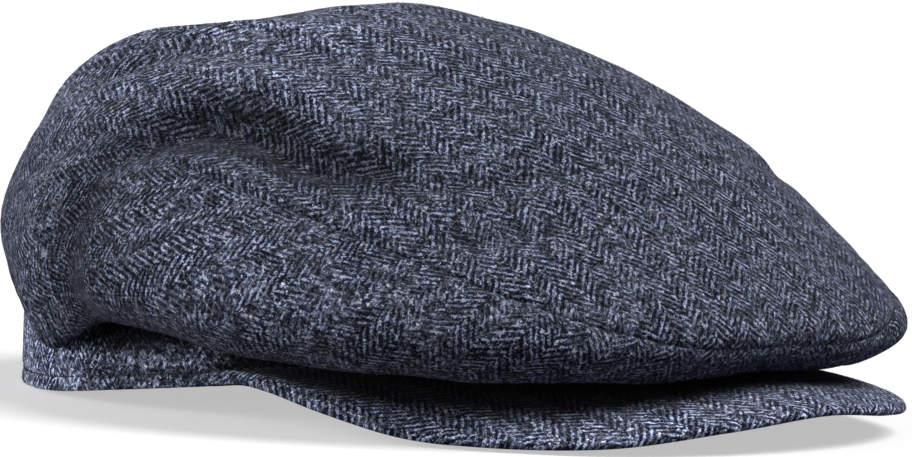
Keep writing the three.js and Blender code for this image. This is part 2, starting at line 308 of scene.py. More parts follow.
# %% [markdown]
# Cloth is never quite even. `unevenness` adds slow waves of up to a fifth of
# a millimetre each, and `seam_shape` lets the cloth dip into the seam between
# the top panel and a side panel, with the small puckers that sewing leaves.
# The dip is all but gone towards the back, where the seam lies flat.

# %% Uneven cloth and puckered seams
waves = [  # direction x, y, z, wavelength in mm, height in mm
    (0.8, 0.5, 0.3, 41, 0.22), (-0.4, 0.9, 0.5, 33, 0.2), (0.2, -0.7, 0.9, 27, 0.16),
    (0.9, -0.3, -0.6, 19, 0.1), (0.5, 0.8, -0.4, 14, 0.06),
]
wave_shift = 1.7
seam_dip, seam_dip_width = 0.8 * MM, 1.4 * MM
dip_faded, dip_fades = 0.92, (70, 92)
pucker, pucker_length, pucker_reach = 0.22 * MM, 8.5 * MM, 7 * MM
pucker_radius, pucker_drift, drift_turns = 115 * MM, 1.5, 7
summit = 0.995


def unevenness(points):
    lift = np.zeros(points.shape[:-1])
    for k, (x, y, z, wavelength, height) in enumerate(waves):
        direction = np.array([x, y, z]) / math.sqrt(x * x + y * y + z * z)
        lift += height * MM * np.sin(points @ direction * 2 * np.pi / (wavelength * MM) + wave_shift * k)
    return lift


def seam_shape(angle, share, points):
    away = np.abs(share - seam_share(angle)) * crown_length(angle)
    round_the_cap = np.radians(angle) * pucker_radius
    drift = pucker_drift * np.sin(drift_turns * np.radians(angle))
    gather = np.sin(2 * np.pi * round_the_cap / pucker_length + drift)
    behind = ramped(from_front(angle), *dip_fades)
    return (-seam_dip * (1 - dip_faded * behind) * np.exp(-((away / seam_dip_width) ** 2))
            + pucker * gather * np.exp(-away / pucker_reach) * (1 - np.exp(-away / seam_dip_width)))


def crown_surface(angle, share):
    angle, share = np.broadcast_arrays(np.asarray(angle, float), np.asarray(share, float))
    base = crown_base(angle, share)
    turn, step = 0.5, 0.004
    along = crown_base(angle, np.minimum(1, share + step)) - crown_base(angle, np.maximum(0, share - step))
    round_ = crown_base(angle + turn, share) - crown_base(angle - turn, share)
    normal = np.cross(along, round_)
    normal /= np.maximum(np.linalg.norm(normal, axis=-1, keepdims=True), 1e-12)
    normal[share > summit] = (0, 0, 1)
    folded = fold_lift(base)
    lift = folded + unevenness(base) + seam_shape(angle, share, base)
    return base + normal * lift[..., None], folded


# %% [markdown]
# ## Helpers for the modelling
#
# The pieces are made from Blender's own primitives. A primitive's vertices
# are read and written in one go, which is much faster than one at a time.
# `shape_cloth` puts the vertices of a primitive on the crown, and
# `shade_by_place` gives each vertex a tone from -1, dark, to 1, pale.
#
# The tone is painted light and shade. As painted shadow it darkens creases
# and the cloth under the lip more than light alone would, and as painted light
# it pales ridges and some places behind. It is part of the colour, so it is the
# same in any light and from any side.

# %% Modelling helpers
def vertices_of(piece):
    flat = np.empty(len(piece.data.vertices) * 3)
    piece.data.vertices.foreach_get("co", flat)
    return flat.reshape(-1, 3)


def move_vertices(piece, points):
    piece.data.vertices.foreach_set("co", np.ascontiguousarray(points, float).ravel())
    piece.data.update()


def edit(piece, *steps):
    bpy.ops.object.select_all(action="DESELECT")
    piece.select_set(True)
    bpy.context.view_layer.objects.active = piece
    bpy.ops.object.mode_set(mode="EDIT")
    bpy.ops.mesh.select_all(action="SELECT")
    for step in steps:
        step()
    bpy.ops.object.mode_set(mode="OBJECT")


def apply_modifier(piece, kind, **values):
    modifier = piece.modifiers.new(kind.title(), kind)
    for name, value in values.items():
        setattr(modifier, name, value)
    bpy.context.view_layer.objects.active = piece
    bpy.ops.object.modifier_apply(modifier=modifier.name)


# Painted light and shade on the crown: darker in folds and paler on ridges, a painted shadow under the lip,
# and painted light low on the back of the side panels
fold_tones, fold_tone_faded, fold_tone_fades = (-0.52, 0.6), 0.65, (84, 108)
lip_painted_shadow, lip_painted_shadow_share = 1.2, 0.085
side_painted_light, side_painted_light_behind, side_painted_light_below = 0.3, (94, 108), (0.55, 0.43)


def shape_cloth(piece, angle, share):
    points, folded = crown_surface(angle, share)
    move_vertices(piece, points)
    away = from_front(angle)
    # painted shadow under the lip
    under = lip_painted_shadow * np.exp(-((share / lip_painted_shadow_share) ** 2))
    kept = 1 - fold_tone_faded * ramped(away, *fold_tone_fades)
    # painted light: paler behind the ear, on the lower part of the cloth
    painted_light = side_painted_light * ramped(away, *side_painted_light_behind) * ramped(share, *side_painted_light_below)
    tone = np.clip(folded / (fold_depth * fold_more), *fold_tones) * kept
    shade_by_place(piece, tone + painted_light - under)


def shade_by_place(piece, value):
    shade = piece.data.attributes.new("fold", "FLOAT", "POINT")
    shade.data.foreach_set("value", np.ascontiguousarray(value, float))


def triangles(piece):
    piece.data.calc_loop_triangles()
    return len(piece.data.loop_triangles)


def new_primitive(name, add, **values):
    bpy.ops.object.select_all(action="DESELECT")
    add(**values)
    piece = bpy.context.object
    piece.name = piece.data.name = name
    return piece


# %% [markdown]
# ## Laying the cloth flat
#
# The weave has to follow the cloth, so each panel is unwrapped: flattened
# with as little stretch as possible, as the cutter saw it on the table. The
# flat piece is then scaled to its real size in metres and turned so that the
# woven columns run up its V axis. `grain` gives two places on the panel that
# one column passes through.

# %% Unwrap a panel at its real size
def flat_of(piece):
    flat = np.empty(len(piece.data.loops) * 2)
    piece.data.uv_layers.active.data.foreach_get("uv", flat)
    return flat.reshape(-1, 2)


def lay_flat(piece, grain):
    edit(piece, lambda: bpy.ops.uv.unwrap(method="ANGLE_BASED", margin=0))
    flat = flat_of(piece)
    corner = np.empty(len(piece.data.loops), int)
    piece.data.loops.foreach_get("vertex_index", corner)
    points = vertices_of(piece)[corner]
    first = np.array([p.loop_start for p in piece.data.polygons])
    a, b, c = first, first + 1, first + 2
    solid = np.linalg.norm(np.cross(points[b] - points[a], points[c] - points[a]), axis=1).sum()
    side, up = flat[b] - flat[a], flat[c] - flat[a]
    turning = side[:, 0] * up[:, 1] - side[:, 1] * up[:, 0]
    flat *= math.sqrt(solid / abs(turning).sum())
    if turning.sum() < 0:
        flat[:, 0] *= -1
    ends = [flat[np.argmin(np.linalg.norm(points - np.array(end), axis=1))] for end in grain]
    lean = ends[1] - ends[0]
    turn = math.atan2(lean[0], lean[1])
    cos, sin = math.cos(turn), math.sin(turn)
    flat = (flat - ends[0]) @ np.array([[cos, sin], [-sin, cos]])
    piece.data.uv_layers.active.data.foreach_set("uv", flat.ravel())
    print(piece.name, "lies flat in", (flat.max(0) - flat.min(0)).round(3), "m")


# %% [markdown]
# ## The top panel
#
# The one large piece over the head. It is a disc of cloth with a dome in it,
# so a sphere is the nearest primitive: it is bisected at its equator, and
# each vertex of the half that is left tells by its direction and its height
# which place on the crown it takes. A Solidify modifier then gives the cloth
# its thickness.

# %% Top panel
def top_panel():
    rows = 96
    piece = new_primitive("top_panel_cloth", bpy.ops.mesh.primitive_uv_sphere_add,
                          segments=320, ring_count=2 * rows, radius=1)
    edit(piece, lambda: bpy.ops.mesh.bisect(plane_co=(0, 0, 0), plane_no=(0, 0, 1), clear_inner=True))
    ball = vertices_of(piece)
    angle = np.degrees(np.arctan2(-ball[:, 0], -ball[:, 1])) % 360
    rise = np.clip(np.degrees(np.arcsin(np.clip(ball[:, 2], -1, 1))) / 90, 0, 1)
    low = seam_share(angle) + seam_line / 2 / crown_length(angle)
    shape_cloth(piece, angle, low + (1 - low) * rise)
    grain = crown_surface([180, 0], [0.5, 0.5])[0]
    lay_flat(piece, grain)
    return piece


top = top_panel()
print(top.name, triangles(top), "triangles on its face")

# %% [markdown]
# ## The side panels
#
# Each side panel is a long strip from the middle of the front to the middle
# of the back. A flat grid is the right primitive: its X goes round the head,
# and its Y goes along the cloth between the band and the seam.

# %% Side panels
end_inset = 0.02 * MM


def side_panel(name, start, end, grain):
    piece = new_primitive(name, bpy.ops.mesh.primitive_grid_add,
                          x_subdivisions=250, y_subdivisions=72, size=2)
    grid = vertices_of(piece)
    inset = math.degrees(end_inset / opening_width)
    angle = start + inset + (end - start - 2 * inset) * (grid[:, 0] + 1) / 2
    high = seam_share(angle) - seam_line / 2 / crown_length(angle)
    shape_cloth(piece, angle, high * (1 - grid[:, 1]) / 2)
    lay_flat(piece, crown_surface(*np.array(grain).T)[0])
    return piece


right = side_panel("side_panel_right_cloth", 0, 180, [(104, 0.16), (84, 0.27)])
left = side_panel("side_panel_left_cloth", 180, 360, [(256, 0.16), (276, 0.27)])
print(right.name, triangles(right), "triangles on its face")

# %% [markdown]
# ## The headband
#
# An upright ring of folded tweed. A cylinder without its caps is subdivided
# into rows, and each row takes its height over the hem. Solidify gives the
# wall its thickness, inwards, and a small bevel rounds the fold at the hem.

# %% Headband
hem_stitch_height, hem_crease, hem_groove = 4 * MM, 0.9 * MM, 0.6 * MM
# Painted shade on the band: a painted shadow under the crown's lip and all round the front, and painted
# shade in the hem groove. Painted light makes it paler behind on the wearer's right
painted_shadow_above, painted_shadow_before, painted_shadow_in_front = (0.36, 0.62), (112, 100), (76, 68)
band_painted_light_behind, band_painted_light_until, band_painted_light_least = (106, 112), (155, 135), 0.1
crease_painted_shade = 0.5


def headband():
    piece = new_primitive("headband_cloth", bpy.ops.mesh.primitive_cylinder_add,
                          vertices=12, radius=1, depth=2, end_fill_type="NOTHING")
    edit(piece, lambda: bpy.ops.mesh.subdivide(number_cuts=27))
    tube = vertices_of(piece)
    angle = np.degrees(np.arctan2(-tube[:, 0], -tube[:, 1])) % 360
    up = band_height * (tube[:, 2] + 1) / 2
    crease = np.exp(-(((up - hem_stitch_height) / hem_crease) ** 2))
    groove = hem_groove * crease
    point = place(angle, band_outer(angle), hem_height(angle) + up)
    bulge = np.minimum(0, unevenness(point)) - groove
    move_vertices(piece, place(angle, band_outer(angle) + bulge, hem_height(angle) + up))
    # painted shadow under the lip and at the front, painted light behind on the right, painted shade in the
    # groove
    away = from_front(angle)
    under = ramped(up / band_height, *painted_shadow_above) * ramped(away, *painted_shadow_before)
    under = np.maximum(under, ramped(away, *painted_shadow_in_front))
    painted_light = ramped(away, *band_painted_light_behind) * np.maximum(ramped(angle, *band_painted_light_until), band_painted_light_least)
    shade_by_place(piece, painted_light - under - crease_painted_shade * crease)
    return piece


band = headband()
print(band.name, triangles(band), "triangles on its face")

# %% [markdown]
# ## The peak
#
# The peak is a stiff core covered with tweed, so it keeps its shape: it
# droops at both sides and is a little higher in the middle. Wear has curled
# its left corner up by a few millimetres. A grid makes its upper face, and
# Solidify gives it thickness in the next step. A fifth of the grid's rows lie
# in the last two millimetres, where the edge is to be rounded. A bevel finds
# no room in such narrow rows.

# %% Peak
left_curl, left_tuck, left_swell = 4.4 * MM, 2 * MM, 2.6 * MM
left_angle, left_width, swell_angle, swell_width, swell_from = -31, 16, -50, 20, (0.3, 0.9)
edge_roll, edge_round, edge_sinks, edge_least = 1.2 * MM, 2 * MM, (0.72, 1), 0.06
edge_rows, least_depth = 0.8, 0.1 * MM
# Painted light and shadow on the peak: the whole peak a little paler, and a painted shadow on its inner
# part, under the crown's lip
peak_painted_light, peak_painted_shadow, peak_painted_shadow_until = 0.2, 1.2, (0.82, 0.58)
peak_painted_shadow_beyond, peak_painted_shadow_least = (-48, -18), 0.25


def left_corner(angle):
    return np.exp(-(((angle - left_angle) / left_width) ** 2))


def peak_depth(angle):
    return peak_reach * np.maximum(0, column(peak, "reach", angle)) - left_tuck * left_corner(angle)


def safe_depth(angle):
    return np.maximum(peak_depth(angle), least_depth)


def edge_share(angle):
    return np.minimum(edge_round / safe_depth(angle), 0.5)


def peak_top(angle, out):
    reach = peak_depth(angle)
    edge = front_rise * np.maximum(0, column(peak, "edge", angle)) + left_curl * left_corner(angle)
    low = hem_height(angle)
    height = low + (edge - low) * np.maximum(out, 0) ** peak_curve + peak_thickness
    return place(angle, band_outer(angle) + seam_gap + reach * out, height)


def peak_piece():
    piece = new_primitive("peak_cloth", bpy.ops.mesh.primitive_grid_add,
                          x_subdivisions=200, y_subdivisions=44, size=2)
    grid = vertices_of(piece)
    angle = peak_end * grid[:, 0]
    row = (1 - grid[:, 1]) / 2
    last = edge_share(angle)
    turn = np.pi / 2 * ramped(row, edge_rows, 1)
    out = np.where(row < edge_rows, row / edge_rows * (1 - last), 1 - last * (1 - np.sin(turn)))
    move_vertices(piece, peak_top(angle, out))
    # painted shadow on the inner part of the peak, painted light on the rest
    peak_shadow_mask = ramped(out, *peak_painted_shadow_until) * np.maximum(ramped(angle, *peak_painted_shadow_beyond), peak_painted_shadow_least)
    shade_by_place(piece, peak_painted_light - peak_painted_shadow * peak_shadow_mask)
    return piece


brim = peak_piece()
print(brim.name, triangles(brim), "triangles on its face")

# %% [markdown]
# ## Thickness
#
# Each face is a single layer so far. Solidify gives every panel the real
# thickness of its cloth, inwards, so that the outline stays where it is. The
# edges of the band and the peak are folds of cloth and never sharp. A bevel
# rounds the band's. `roll_edge` rounds the peak's: it swells the left corner,
# lets the upper face sink towards the edge, and draws the upper and the lower
# layer together over the last two millimetres. Neither goes below the table.

# %% Give the cloth its thickness
outer_faces, outer_shade = {}, {}
hem_round, bevel_segments, bevel_angle = 0.9 * MM, 4, math.radians(50)


def angle_of(points):
    x, y = (points - middle)[:, :2].T
    return np.degrees(np.arctan2(-x, -y))


def out_on_peak(points):
    angle = angle_of(points)
    distance = np.hypot(*(points - middle)[:, :2].T)
    out = (distance - band_outer(angle) - seam_gap) / safe_depth(angle)
    return angle, distance, np.clip(out, 0, 1)


def roll_edge(piece):
    points = vertices_of(piece)
    upper, lower = np.split(points, 2)
    angle, _, out = out_on_peak(upper)
    at_corner = np.exp(-(((angle - swell_angle) / swell_width) ** 2))
    swell = left_swell * at_corner * ramped(out, *swell_from)
    sink = edge_roll * ramped(out, *edge_sinks) ** 2 * safe_depth(angle) / peak_reach
    upper[:, 2] += swell - sink
    past = np.clip(1 - (1 - out) / edge_share(angle), 0, 1)
    keep = np.maximum(np.sqrt(1 - past**2), edge_least)[:, None]
    heart, half = (upper + lower) / 2, (upper - lower) / 2
    move_vertices(piece, np.concatenate([heart + half * keep, heart - half * keep]))


def thicken(piece, thickness, rounding=0, reshape=None):
    edit(piece, lambda: bpy.ops.mesh.remove_doubles(threshold=1e-7),
         lambda: bpy.ops.mesh.normals_make_consistent(inside=False))
    if outwardness(piece) < 0:
        edit(piece, lambda: bpy.ops.mesh.flip_normals())
    corners = np.array([tuple(face.vertices) for face in piece.data.polygons if face.loop_total == 4])
    shade = np.empty(len(piece.data.vertices))
    piece.data.attributes["fold"].data.foreach_get("value", shade)
    outer_shade[piece.name] = shade[corners].mean(1)
    apply_modifier(piece, "SOLIDIFY", thickness=thickness, offset=-1, use_rim=True)
    if reshape:
        reshape(piece)
    outer_faces[piece.name] = vertices_of(piece)[corners]
    if rounding:
        apply_modifier(piece, "BEVEL", width=rounding, segments=bevel_segments,
                       limit_method="ANGLE", angle_limit=bevel_angle)
    edit(piece, lambda: bpy.ops.mesh.faces_shade_smooth())
    print(piece.name, triangles(piece), "triangles")


def outwardness(piece):
    heart = np.array([0, 0, 20 * MM])
    centres = np.array([p.center for p in piece.data.polygons])
    normals = np.array([p.normal for p in piece.data.polygons])
    if piece is brim:
        return normals[:, 2].sum()
    return ((centres - heart) * normals).sum()


for piece in (top, right, left):
    thicken(piece, cloth_thickness)
thicken(band, band_wall, rounding=hem_round)
thicken(brim, peak_thickness, reshape=roll_edge)
for piece in (band, brim):
    points = vertices_of(piece)
    points[:, 2] = np.maximum(points[:, 2], 0)
    move_vertices(piece, points)

# %% [markdown]
# ## Flat maps of the band and the peak
#
# The band and the peak have a simple rule for their flat map, so no unwrap is
# needed. On the band, U is the length round the head and V the height, and the
# map meets itself at the back seam. On the peak, the columns run from back to
# front, and the cloth carries on round the rounded edge.

# %% Map the band and the peak
def flat_by_place(piece, rule):
    if not piece.data.uv_layers:
        piece.data.uv_layers.new(name="UVMap")
    corner = np.empty(len(piece.data.loops), int)
    piece.data.loops.foreach_get("vertex_index", corner)
    faces = piece.data.polygons
    centres = np.repeat([f.center for f in faces], [f.loop_total for f in faces], axis=0)
    flat = rule(vertices_of(piece)[corner], angle_of(centres))
    piece.data.uv_layers.active.data.foreach_set("uv", flat.ravel())
    print(piece.name, "lies flat in", (flat.max(0) - flat.min(0)).round(3), "m")


def band_flat(points, face_angle):
    angle = face_angle + (angle_of(points) - face_angle + 180) % 360 - 180
    turns = np.arange(-200, 201)
    return np.stack([np.interp(angle, turns, band_length(turns)), points[:, 2]], -1)


def peak_flat(points, face_angle):
    angle, distance, out = out_on_peak(points)
    along = distance + np.maximum(0, peak_top(angle, out)[:, 2] - points[:, 2])
    a = np.radians(angle)
    return np.stack([-np.sin(a) * along, -np.cos(a) * along], -1)


flat_by_place(band, band_flat)
flat_by_place(brim, peak_flat)

# %% [markdown]
# ## Tweed
#
# Tweed is woven from carded wool, so it has three scales at once: the
# herringbone of its ribs, the single yarns that step along each rib, and the
# loose fibres that blur both. Two node groups draw them, the first the ribs
# and yarns and the second the fibres, so that every tweed material can use
# them with its own values. The nodes are added by a few small helpers.

# %% Node helpers
def add_node(tree, kind, *inputs, **settings):
    made = tree.nodes.new(kind)
    for name, value in settings.items():
        setattr(made, name, value)
    for socket, value in zip(made.inputs, inputs):
        if isinstance(value, bpy.types.NodeSocket):
            tree.links.new(value, socket)
        elif value is not None:
            socket.default_value = value
    return made


def calc(tree, operation, *values):
    return add_node(tree, "ShaderNodeMath", *values, operation=operation).outputs[0]


def vector_calc(tree, operation, *values):
    return add_node(tree, "ShaderNodeVectorMath", *values, operation=operation).outputs[0]


def scaled(tree, vector, factor):
    made = add_node(tree, "ShaderNodeVectorMath", vector, operation="SCALE")
    if isinstance(factor, bpy.types.NodeSocket):
        tree.links.new(factor, made.inputs["Scale"])
    else:
        made.inputs["Scale"].default_value = factor
    return made.outputs[0]


def ramp(tree, value, low, high, to_low=0.0, to_high=1.0):
    made = add_node(tree, "ShaderNodeMapRange", value, low, high, to_low, to_high,
                    interpolation_type="SMOOTHSTEP")
    return made.outputs[0]


def noise(tree, vector, scale, detail=2.0, roughness=0.5, colour=False):
    made = add_node(tree, "ShaderNodeTexNoise", vector)
    for name, value in (("Scale", scale), ("Detail", detail), ("Roughness", roughness)):
        made.inputs[name].default_value = value
    return made.outputs["Color" if colour else "Factor" if "Factor" in made.outputs else "Fac"]


def blend_colour(tree, factor, first, second, kind="MIX"):
    made = add_node(tree, "ShaderNodeMix", data_type="RGBA", blend_type=kind)
    for name, value in (("Factor_Float", factor), ("A_Color", first), ("B_Color", second)):
        socket = next(i for i in made.inputs if i.identifier == name)
        if isinstance(value, bpy.types.NodeSocket):
            tree.links.new(value, socket)
        else:
            socket.default_value = value
    return next(o for o in made.outputs if o.identifier == "Result_Color")


def node_group(name, inputs, outputs):
    tree = bpy.data.node_groups.new(name, "ShaderNodeTree")
    for label, kind, value in inputs:
        socket = tree.interface.new_socket(label, in_out="INPUT", socket_type=kind)
        if value is not None:
            socket.default_value = value
    for label, kind in outputs:
        tree.interface.new_socket(label, in_out="OUTPUT", socket_type=kind)
    return tree, tree.nodes.new("NodeGroupInput").outputs, tree.nodes.new("NodeGroupOutput").inputs


def new_material(name):
    made = bpy.data.materials.new(name)
    made.use_nodes = True
    return made, made.node_tree, made.node_tree.nodes["Principled BSDF"].inputs


NUMBER, VECTOR, COLOUR = "NodeSocketFloat", "NodeSocketVector", "NodeSocketColor"

# %% [markdown]
# ### Herringbone
#
# A 2/2 twill puts a light float over two yarns and moves it on by one yarn at
# each pick, which draws a slanting rib. Herringbone turns the slant round at
# every column and starts the new column half a rib later, so the ribs never
# quite meet. `Flat` is the place on the flat cloth in metres. The ribs step
# from yarn to yarn, and a slow wobble keeps the columns from looking ruled.

# %% The herringbone group
def make_herringbone():
    tree, given, out = node_group(
        "herringbone",
        [("Flat", VECTOR, None), ("Column Width", NUMBER, 0.0063), ("Rib Pitch", NUMBER, 0.0026),
         ("Yarn", NUMBER, 0.00063), ("Wobble", NUMBER, 0.0018), ("Broken", NUMBER, 0.6)],
        [("Rib", NUMBER), ("Yarn Edge", NUMBER), ("Along", VECTOR)])
    drift = noise(tree, given["Flat"], 70, 4, 0.6, colour=True)
    shake = vector_calc(tree, "SUBTRACT", drift, (0.5, 0.5, 0.5))
    flat = vector_calc(tree, "ADD", given["Flat"], scaled(tree, shake, given["Wobble"]))
    parts = add_node(tree, "ShaderNodeSeparateXYZ", flat).outputs
    across = calc(tree, "DIVIDE", parts[0], given["Column Width"])
    zigzag = calc(tree, "MULTIPLY", calc(tree, "PINGPONG", across, 1.0), given["Column Width"])
    steps = calc(tree, "DIVIDE", zigzag, given["Yarn"])
    stepped = calc(tree, "MULTIPLY", calc(tree, "FLOOR", steps), given["Yarn"])
    soft_step = calc(tree, "ADD", calc(tree, "MULTIPLY", stepped, 0.7), calc(tree, "MULTIPLY", zigzag, 0.3))
    late = calc(tree, "MULTIPLY", calc(tree, "FLOORED_MODULO", calc(tree, "FLOOR", across), 2.0), 0.5)
    climb = calc(tree, "ADD", parts[1], soft_step)
    phase = calc(tree, "ADD", calc(tree, "DIVIDE", climb, given["Rib Pitch"]), late)
    wave = calc(tree, "COSINE", calc(tree, "MULTIPLY", phase, 2 * math.pi))
    fray = calc(tree, "SUBTRACT", noise(tree, given["Flat"], 900, 2, 0.6), 0.5)
    gaps = calc(tree, "MULTIPLY", fray, given["Broken"])
    broken = calc(tree, "ADD", wave, calc(tree, "MULTIPLY", gaps, 3.0))
    tree.links.new(ramp(tree, broken, -0.6, 0.8), out["Rib"])
    beside = calc(tree, "ABSOLUTE", calc(tree, "SUBTRACT", calc(tree, "FRACT", steps), 0.5))
    tree.links.new(ramp(tree, beside, 0.5, 0.22), out["Yarn Edge"])
    slant = add_node(tree, "ShaderNodeCombineXYZ", calc(tree, "ADD", parts[1], zigzag),
                     calc(tree, "MULTIPLY", calc(tree, "SUBTRACT", parts[1], zigzag), 0.3), late).outputs[0]
    tree.links.new(slant, out["Along"])
    return tree


herringbone = make_herringbone()
print("herringbone group:", len(herringbone.nodes), "nodes")

# %% [markdown]
# ### Wool
#
# `Along` runs with the ribs, so a noise stretched along it looks like combed
# fibre. `Fibre` is that fine streaked light and dark, `Nap` the patches where
# handling has raised the fibres and hidden the ribs, `Cloud` the thicker and
# thinner places in the yarn, `Fleck` the rare pale fibre, and `Tint` the
# heather: blue, violet and grey wool carded together.

# %% The wool group
def make_wool():
    tree, given, out = node_group(
        "wool",
        [("Flat", VECTOR, None), ("Along", VECTOR, None), ("Nap Size", NUMBER, 55.0), ("Nap", NUMBER, 0.5)],
        [("Fibre", NUMBER), ("Nap", NUMBER), ("Fleck", NUMBER), ("Tint", COLOUR), ("Cloud", NUMBER)])
    streaks = noise(tree, given["Along"], 1150, 2, 0.55)
    curls = noise(tree, given["Flat"], 850, 2, 0.6)
    both = calc(tree, "ADD", calc(tree, "MULTIPLY", streaks, 0.55), calc(tree, "MULTIPLY", curls, 0.45))
    tree.links.new(ramp(tree, both, 0.43, 0.61), out["Fibre"])
    patches = noise(tree, scaled(tree, given["Flat"], given["Nap Size"]), 1.0, 4, 0.62)
    tree.links.new(calc(tree, "MULTIPLY", ramp(tree, patches, 0.38, 0.66), given["Nap"]), out["Nap"])
    clouds = noise(tree, scaled(tree, given["Flat"], 260.0), 1.0, 3, 0.7)
    tree.links.new(ramp(tree, clouds, 0.4, 0.6, 0.4, 1.65), out["Cloud"])
    pale = noise(tree, scaled(tree, given["Flat"], 900.0), 1.0, 2, 0.7)
    tree.links.new(ramp(tree, pale, 0.585, 0.68), out["Fleck"])
    shade = noise(tree, given["Flat"], 420, 2, 0.6)
    violet = blend_colour(tree, ramp(tree, shade, 0.35, 0.6), (0.86, 0.98, 1.06, 1), (1.02, 1.0, 1.1, 1))
    warm = noise(tree, vector_calc(tree, "ADD", given["Flat"], (3.1, 1.7, 0.4)), 260, 2, 0.6)
    tint = blend_colour(tree, ramp(tree, warm, 0.52, 0.72), violet, (1.1, 1.04, 0.98, 1))
    tree.links.new(tint, out["Tint"])
    return tree


wool = make_wool()
print("wool group:", len(wool.nodes), "nodes")

# %% [markdown]
# ### The tweed materials
#
# All five pieces are cut from one cloth, but they don't look the same: the
# band is pressed and a little worn, the peak is stretched over its core, so
# its ribs stand out, and the ribs of the side panels are drawn closer. Each
# is a material of its own, from the same two groups with other values, its
# brightness among them. That brightness is painted light and shade: the band
# and the peak are made paler and the side panels darker, as the light falls on
# them. The painted light and shade of each vertex then multiplies the colour,
# from `tone_low` to `tone_high`. Wool shines only at a glancing angle, which
# is what the sheen is for.

# %% Tweed materials
dark_yarn, light_yarn = (0.0035, 0.0055, 0.018, 1), (0.28, 0.305, 0.41, 1)
nap_dark, nap_light = (0.01, 0.013, 0.028, 1), (0.24, 0.258, 0.33, 1)
fleck_colour, fleck_strength = (0.56, 0.57, 0.63, 1), 0.75
tone_low, tone_high = 0.06, 1.94
bump_strength, bump_depth = 0.9, 0.22 * MM


def tweed_material(name, nap=0.45, contrast=1.0, brightness=0.92, broken=0.75, pitch=2.6 * MM):
    made, tree, surface = new_material(name)
    flat = add_node(tree, "ShaderNodeUVMap", uv_map="UVMap").outputs[0]
    weave = add_node(tree, "ShaderNodeGroup", node_tree=herringbone)
    fibres = add_node(tree, "ShaderNodeGroup", node_tree=wool)
    weave.inputs["Broken"].default_value = broken
    weave.inputs["Rib Pitch"].default_value = pitch
    fibres.inputs["Nap"].default_value = nap
    tree.links.new(flat, weave.inputs["Flat"])
    tree.links.new(flat, fibres.inputs["Flat"])
    tree.links.new(weave.outputs["Along"], fibres.inputs["Along"])
    rib, edge, fibre = weave.outputs["Rib"], weave.outputs["Yarn Edge"], fibres.outputs["Fibre"]
    woven = calc(tree, "MULTIPLY", rib, calc(tree, "ADD", calc(tree, "MULTIPLY", edge, 0.35), 0.65))
    ribs, hairs = calc(tree, "MULTIPLY", woven, 0.22 * contrast), calc(tree, "MULTIPLY", fibre, 0.14)
    both = calc(tree, "MULTIPLY", calc(tree, "MULTIPLY", woven, fibre), 0.5)
    lit = calc(tree, "ADD", calc(tree, "ADD", ribs, hairs), both)
    cloth = blend_colour(tree, ramp(tree, lit, 0.06, 0.72), dark_yarn, light_yarn)
    napped = blend_colour(tree, fibres.outputs["Nap"], cloth, blend_colour(tree, fibre, nap_dark, nap_light))
    tinted = blend_colour(tree, 1.0, napped, fibres.outputs["Tint"], "MULTIPLY")
    fleck = calc(tree, "MULTIPLY", fibres.outputs["Fleck"], fleck_strength)
    flecked = blend_colour(tree, fleck, tinted, fleck_colour)
    # The attribute read here is the painted light and shade of each vertex
    fold = add_node(tree, "ShaderNodeAttribute", attribute_name="fold").outputs["Fac"]
    level = ramp(tree, fold, -1.0, 1.0, tone_low * brightness, tone_high * brightness)
    level = calc(tree, "MULTIPLY", level, fibres.outputs["Cloud"])
    tree.links.new(scaled(tree, flecked, level), surface["Base Color"])
    tree.links.new(ramp(tree, fibre, 0.0, 1.0, 0.84, 0.97), surface["Roughness"])
    height = calc(tree, "ADD", calc(tree, "MULTIPLY", woven, 0.7), calc(tree, "MULTIPLY", fibre, 0.5))
    bump = add_node(tree, "ShaderNodeBump")
    bump.inputs["Strength"].default_value = bump_strength
    bump.inputs["Distance"].default_value = bump_depth
    tree.links.new(height, bump.inputs["Height"])
    tree.links.new(bump.outputs[0], surface["Normal"])
    for label, value in (("Sheen Weight", 0.05), ("Sheen Roughness", 0.35), ("Specular IOR Level", 0.1)):
        surface[label].default_value = value
    surface["Sheen Tint"].default_value = (0.75, 0.8, 0.95, 1)
    return made


# Brightness here is painted light and shade: a paler band and peak, darker side panels
tweed_crown = tweed_material("tweed_crown")
tweed_side = tweed_material("tweed_side", nap=0.6, contrast=0.85, brightness=0.84, pitch=2.2 * MM)
tweed_band = tweed_material("tweed_band", nap=0.8, contrast=0.5, brightness=1.5, broken=0.7)
tweed_peak = tweed_material("tweed_peak", nap=0.3, contrast=1.0, brightness=1.28, broken=0.5)
finish = {top: tweed_crown, right: tweed_side, left: tweed_side, band: tweed_band, brim: tweed_peak}
for piece, cloth in finish.items():
    piece.data.materials.clear()
    piece.data.materials.append(cloth)
    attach(piece, "root")
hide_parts("top_panel")
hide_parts("side_panel_right")
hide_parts("side_panel_left")
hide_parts("headband")
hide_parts("peak")
print(len(finish), "pieces dressed")

# %% [markdown]
# ## Hem stitches
#
# The hem of the band is held by one row of dark thread that sinks into the
# wool. One stitch is a small ball drawn out along the row. It is modelled once
# and copied round the band, with the copies in a single mesh.

# %% Hem stitches
thread_dark, thread_light = (0.006, 0.007, 0.013, 1), (0.03, 0.033, 0.055, 1)
thread, tree, surface = new_material("navy_thread")
where = add_node(tree, "ShaderNodeTexCoord").outputs["Object"]
twist = add_node(tree, "ShaderNodeTexWave", where, bands_direction="DIAGONAL")
twist.inputs["Scale"].default_value = 900
tree.links.new(blend_colour(tree, twist.outputs["Fac"], thread_dark, thread_light), surface["Base Color"])
surface["Roughness"].default_value = 0.6

stitch_pitch, stitch_length, stitch_width = 3.2 * MM, 2.3 * MM, 0.5 * MM
stitch_flatness, stitch_sunk = 0.8, 0.42 * MM


